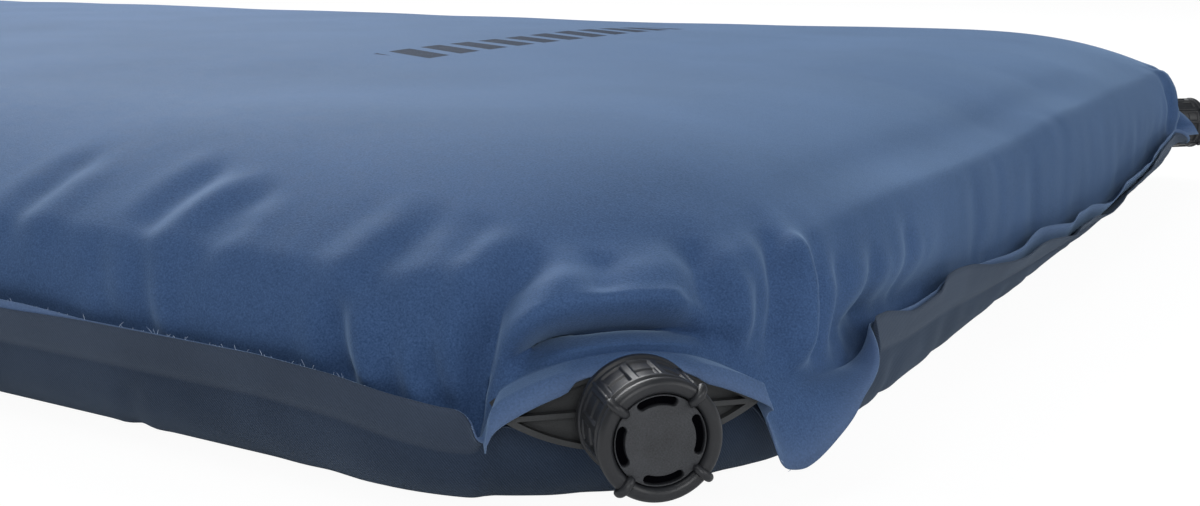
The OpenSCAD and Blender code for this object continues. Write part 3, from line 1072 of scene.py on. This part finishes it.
def print_mask(look):
    """A plain row of slanted bars, printed across the mat near the valve end. Its
    place started from the same tracing as the folds and was then moved."""
    centre_x, centre_y = 0.697, 0.03
    half_height, half_length = 16 * MM, 132 * MM
    pitch, share, slant = 25 * MM, 0.66, 0.3
    split = look.nodes.new("ShaderNodeSeparateXYZ")
    look.links.new(look.place, split.inputs[0])
    x = look.math("SUBTRACT", split.outputs["X"], centre_x)
    y = look.math("SUBTRACT", split.outputs["Y"], centre_y)
    tall = look.math("LESS_THAN", look.math("ABSOLUTE", x), half_height)
    long = look.math("LESS_THAN", look.math("ABSOLUTE", y), half_length)
    above = look.math("GREATER_THAN", split.outputs["Z"], weld_z + slope_rise)
    slid = look.math("ADD", y, look.math("MULTIPLY", x, slant))
    turn = look.math("FRACT", look.math("DIVIDE", look.math("ADD", slid, 1.0), pitch))
    bars = look.math("LESS_THAN", turn, share)
    within = look.math("MULTIPLY", tall, long)
    return look.math("MULTIPLY", within, look.math("MULTIPLY", bars, above))


def blue_fabric():
    look = Look("blue_brushed_polyester", (0.055, 0.1, 0.21), 0.85)
    look.shader.inputs["Sheen Roughness"].default_value = 0.45
    look.shader.inputs["Sheen Tint"].default_value = (0.5, 0.72, 1, 1)
    look.shader.inputs["Specular IOR Level"].default_value = 0.12
    patches = look.noise(70 * MM, 3)
    nap = look.noise(6 * MM, 3)
    grain = look.noise(0.55 * MM, 2)
    tone = look.math("ADD", look.math("MULTIPLY", patches, 0.3), look.math("MULTIPLY", nap, 0.1))
    tone = look.math("ADD", tone, look.math("MULTIPLY", grain, 0.6))
    cloth = look.ramp(tone, 0.34, 0.66, (0.027, 0.061, 0.144), (0.062, 0.118, 0.252))
    worn = look.math("MULTIPLY", look.math("POWER", look.attribute("edge"), 3.0), 0.35)
    cloth = look.blend(worn, cloth, (0.2, 0.27, 0.42))
    cover_share = look.ramp(grain, 0.3, 0.5, (0.6,) * 3, (0.92,) * 3)
    ink = look.math("MULTIPLY", print_mask(look), cover_share)
    look.colour(look.blend(ink, cloth, (0.008, 0.014, 0.028)))
    fuzz = look.math("MULTIPLY", look.math("SUBTRACT", 1.0, ink), 0.35)
    look.links.new(fuzz, look.shader.inputs["Sheen Weight"])
    look.rough(nap, 0.74, 0.94)
    warp = look.threads(0.5 * MM, "X")
    weft = look.threads(0.5 * MM, "Y")
    weave = look.math("MULTIPLY", warp, weft)
    look.relief((nap, 0.12, 0.4 * MM), (grain, 0.7, 0.18 * MM), (weave, 0.2, 0.05 * MM))
    return look.material


def dark_fabric():
    look = Look("dark_twill_polyester", (0.035, 0.045, 0.07), 0.7)
    look.shader.inputs["Sheen Weight"].default_value = 0.15
    look.shader.inputs["Sheen Roughness"].default_value = 0.5
    look.shader.inputs["Sheen Tint"].default_value = (0.6, 0.78, 1, 1)
    look.shader.inputs["Specular IOR Level"].default_value = 0.2
    patches = look.noise(45 * MM, 3)
    grain = look.noise(0.5 * MM, 2)
    twill = look.threads(0.55 * MM, "DIAGONAL")
    tone = look.math("ADD", look.math("MULTIPLY", patches, 0.55), look.math("MULTIPLY", grain, 0.25))
    tone = look.math("ADD", tone, look.math("MULTIPLY", twill, 0.2))
    cloth = look.ramp(tone, 0.34, 0.66, (0.011, 0.022, 0.046), (0.034, 0.053, 0.092))
    band = look.math("MULTIPLY", look.attribute("band"), 0.28)
    cloth = look.blend(band, cloth, (0.075, 0.09, 0.12))
    look.colour(cloth)
    look.rough(grain, 0.6, 0.85)
    look.relief((patches, 0.3, 1.5 * MM), (grain, 0.4, 0.15 * MM), (twill, 0.6, 0.1 * MM))
    return look.material


def thread_fibre():
    look = Look("loose_fibre", (0.35, 0.45, 0.62), 0.8)
    look.colour(look.ramp(look.noise(2 * MM), 0.3, 0.7, (0.22, 0.3, 0.46), (0.5, 0.6, 0.75)))
    return look.material


def plastic(name, colour, low, high, grain_size, grain_strength, contrast=0.3):
    """Moulded plastic: a faint mottle, a fine grain and small changes of gloss. It
    has painted shade, near-black and with its gloss turned down, where the mesh marks a sunken slot."""
    look = Look(name, colour, (low + high) / 2)
    cloud = look.noise(9 * MM, 3)
    grain = look.noise(grain_size, 3)
    dark = tuple(c * (1 - contrast) for c in colour)
    light = tuple(c * (1 + contrast) for c in colour)
    tone = look.math("ADD", look.math("MULTIPLY", cloud, 0.5), look.math("MULTIPLY", grain, 0.5))
    mottled = look.ramp(tone, 0.3, 0.7, dark, light)
    # Painted shade: near-black colour and lowered gloss in the face's slots, where shadow falls.
    painted_recess_shade = look.attribute("painted_recess_shade")
    look.colour(look.blend(painted_recess_shade, mottled, (0.002, 0.002, 0.003)))
    gloss = look.math("MULTIPLY", look.math("SUBTRACT", 1.0, painted_recess_shade), 0.5)
    look.links.new(gloss, look.shader.inputs["Specular IOR Level"])
    look.rough(cloud, low, high)
    look.relief((grain, grain_strength, 0.12 * MM), (cloud, 0.1, 0.3 * MM))
    return look.material


def brushed_steel():
    look = Look("spring_steel", (0.55, 0.56, 0.58), 0.35)
    look.shader.inputs["Metallic"].default_value = 1
    scratches = look.noise(0.4 * MM, 4)
    look.colour(look.ramp(scratches, 0.3, 0.7, (0.45, 0.46, 0.48), (0.65, 0.66, 0.68)))
    look.rough(scratches, 0.25, 0.5)
    look.relief((scratches, 0.2, 0.05 * MM))
    return look.material


def put(obj, m):
    obj.data.materials.clear()
    obj.data.materials.append(m)


def dress_cad_nodes():
    """Materials for the CAD nodes that stay in view or show inside the valves."""
    moulded = plastic("fitting_plastic", (0.036, 0.038, 0.04), 0.42, 0.62, 0.5 * MM, 0.35)
    rubber = plastic("seal_rubber", (0.02, 0.02, 0.02), 0.6, 0.85, 0.3 * MM, 0.25)
    pale = plastic("flap_rubber", (0.6, 0.6, 0.58), 0.5, 0.7, 0.4 * MM, 0.2)
    steel = brushed_steel()
    looks = {
        "valve_body": moulded,
        "inner_grille": moulded,
        "stop_ring": steel,
        "flap_pin": steel,
        "plug_seal": rubber,
        "cap_seal_ring": rubber,
        "check_flap": pale,
    }
    for side in ("left", "right"):
        for part, m in looks.items():
            if side + "_" + part in frame["nodes"]:
                put(bpy.data.objects[side + "_" + part], m)


# ---- stage -----------------------------------------------------------------


def area_light(name, place, target, size, power):
    light = bpy.data.lights.new(name, "AREA")
    light.shape = "RECTANGLE"
    light.size, light.size_y = size
    light.energy = power
    obj = link(name, light)
    obj.location = place
    look = Vector(target) - Vector(place)
    obj.rotation_euler = look.to_track_quat("-Z", "Y").to_euler()


# A separate script fitted the camera to the photograph's outline and valves.
CAMERA_FROM_CORNER = (0.1596, -0.3022)  # from the near corner of the box round the weld
CAMERA_HEIGHT = 0.1562
CAMERA_TILT = 12.08  # degrees below level
CAMERA_YAW = 30.59
CAMERA_LENS = 44.97  # mm, on a 36 mm wide sensor


def make_camera():
    data = bpy.data.cameras.new("camera")
    data.sensor_width = 36
    data.lens = CAMERA_LENS
    data.clip_start = 0.01
    camera = link("camera", data)
    beyond, aside = CAMERA_FROM_CORNER
    camera.location = (weld_x + beyond, -weld_y + aside, CAMERA_HEIGHT)
    pitch, yaw = math.radians(90 - CAMERA_TILT), math.radians(CAMERA_YAW)
    camera.rotation_euler = (pitch, 0, yaw)
    bpy.context.scene.camera = camera


def make_floor():
    """A floor that glows white to the camera, so that only a trace of the mat's
    shadow shows on it. To the mat it is plain and matt."""
    half = 30
    corners = [(-half, -half), (half, -half), (half, half), (-half, half)]
    mesh = bpy.data.meshes.new("floor")
    mesh.from_pydata([(x, y, -0.5 * MM) for x, y in corners], [], [(0, 1, 2, 3)])
    floor = link("floor", mesh)
    look = Look("floor_white", (0.9, 0.9, 0.9), 0.9)
    glow = look.nodes.new("ShaderNodeEmission")
    glow.inputs["Strength"].default_value = 1.05
    seen = look.nodes.new("ShaderNodeLightPath").outputs["Is Camera Ray"]
    mix = look.nodes.new("ShaderNodeMixShader")
    look.links.new(look.math("MULTIPLY", seen, 0.9), mix.inputs["Fac"])
    look.links.new(look.shader.outputs[0], mix.inputs[1])
    look.links.new(glow.outputs[0], mix.inputs[2])
    look.links.new(mix.outputs[0], look.nodes["Material Output"].inputs["Surface"])
    put(floor, look.material)


def make_world():
    """White where the camera looks past the mat, dim as a light."""
    world = bpy.data.worlds.new("studio")
    bpy.context.scene.world = world
    world.use_nodes = True
    nodes, links = world.node_tree.nodes, world.node_tree.links
    dim = nodes["Background"]
    dim.inputs["Color"].default_value = (0.9, 0.95, 1, 1)
    dim.inputs["Strength"].default_value = 0.27
    white = nodes.new("ShaderNodeBackground")
    white.inputs["Color"].default_value = (1, 1, 1, 1)
    white.inputs["Strength"].default_value = 1.05
    mix = nodes.new("ShaderNodeMixShader")
    seen = nodes.new("ShaderNodeLightPath").outputs["Is Camera Ray"]
    links.new(seen, mix.inputs["Fac"])
    links.new(dim.outputs[0], mix.inputs[1])
    links.new(white.outputs[0], mix.inputs[2])
    links.new(mix.outputs[0], nodes["World Output"].inputs["Surface"])


def make_lights():
    # Each with its place, its target, its size and its power.
    area_light("key", (-1.0, 1.0, 1.35), (0.4, -0.1, 0.05), (1.6, 1.2), 56)
    area_light("top", (0.2, -0.9, 1.9), (0.6, -0.2, 0), (1.6, 1.2), 11)
    area_light("end_fill", (2.6, -0.2, 0.9), (0.95, 0, 0.04), (1.2, 0.8), 8)
    area_light("front_fill", (1.9, -1.7, 0.9), (0.97, -0.35, 0.04), (0.8, 0.5), 9)
    bpy.context.scene.view_settings.view_transform = "Standard"


# ---- everything together ---------------------------------------------------


def place_covers():
    top, bottom, blue_edge = make_covers()
    put(top, blue_fabric())
    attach(top, "mat")
    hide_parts("top_cover", "foam_core")
    put(bottom, dark_fabric())
    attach(bottom, "mat")
    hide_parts("bottom_cover")
    fibres = make_threads(blue_edge)
    put(fibres, thread_fibre())
    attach(fibres, "mat")


def place_caps():
    skirt = plastic("cap_plastic", (0.014, 0.015, 0.018), 0.3, 0.5, 0.35 * MM, 0.25)
    grained = plastic("face_plastic", (0.036, 0.038, 0.043), 0.5, 0.65, 0.4 * MM, 1.0, 0.6)
    for side in ("left", "right"):
        cap = cap_mesh(side)
        put(cap, skirt)
        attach(cap, side + "_cap")
        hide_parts(side + "_cap_shell")
        disc = face_mesh(side)
        put(disc, grained)
        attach(disc, side + "_cap")
        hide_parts(side + "_cap_face")


make_camera()
make_floor()
make_world()
make_lights()
place_covers()
place_caps()
dress_cad_nodes()
